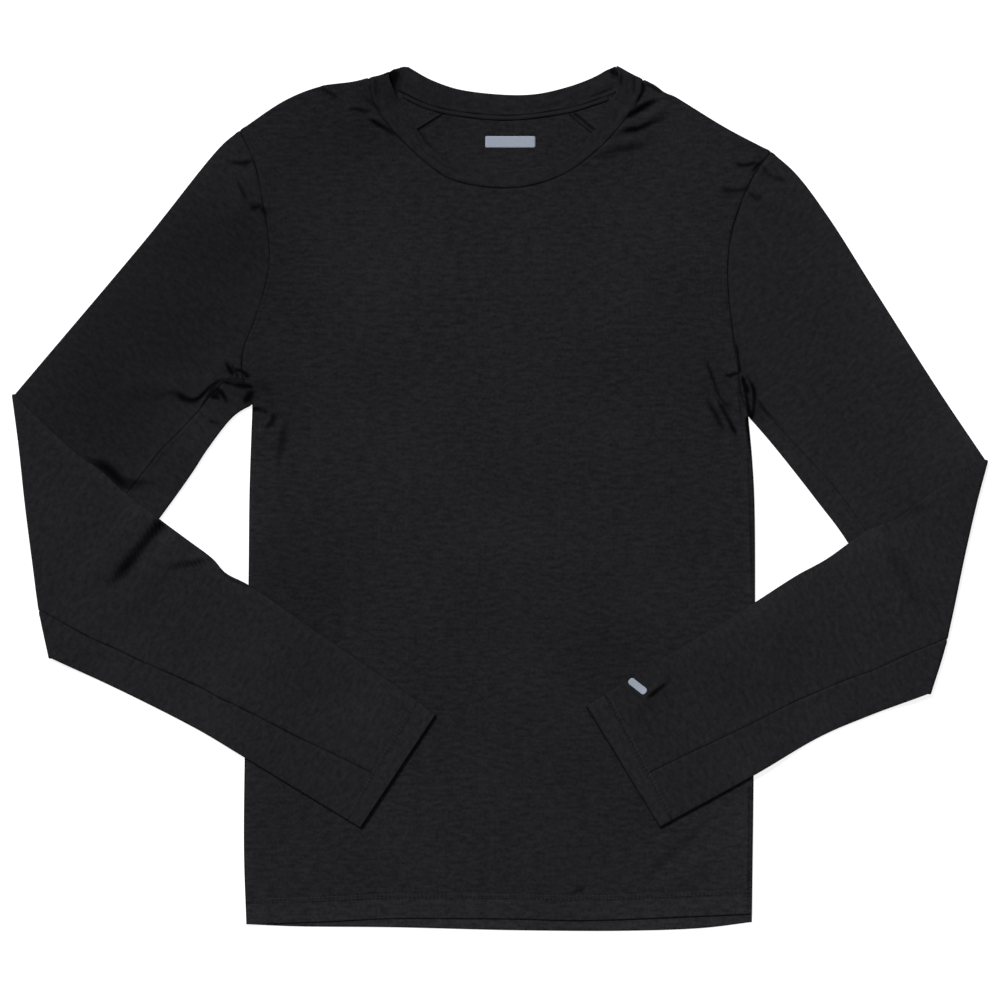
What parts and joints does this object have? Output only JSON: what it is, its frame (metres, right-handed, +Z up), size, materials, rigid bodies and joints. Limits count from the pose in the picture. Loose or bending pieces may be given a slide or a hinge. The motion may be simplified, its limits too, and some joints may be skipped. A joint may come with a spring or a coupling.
{
  "type": "base layer top",
  "caption": "Long-sleeved crew-neck base layer top of fine black knit, laid flat with the sleeves folded at the elbow over the front.",
  "frame": {"origin": "on the floor under the middle of the laid-out top's bounding box", "axes": "+Y towards the neck, +X towards the right sleeve as seen from above, +Z up"},
  "size_m": [0.7994, 0.709, 0.0076],
  "materials": {
    "knit": "matt fine jersey knit with a faint heather",
    "knit_band": "matt fine rib knit",
    "tape": "matt woven tape"
  },
  "bodies": {
    "root": {"front": "knit", "back": "knit", "neckband": "knit_band", "neck_tape": "tape", "sleeve_left": "knit", "sleeve_right": "knit", "under_sleeve_left": "knit", "under_sleeve_right": "knit"}
  },
  "joints": []
}
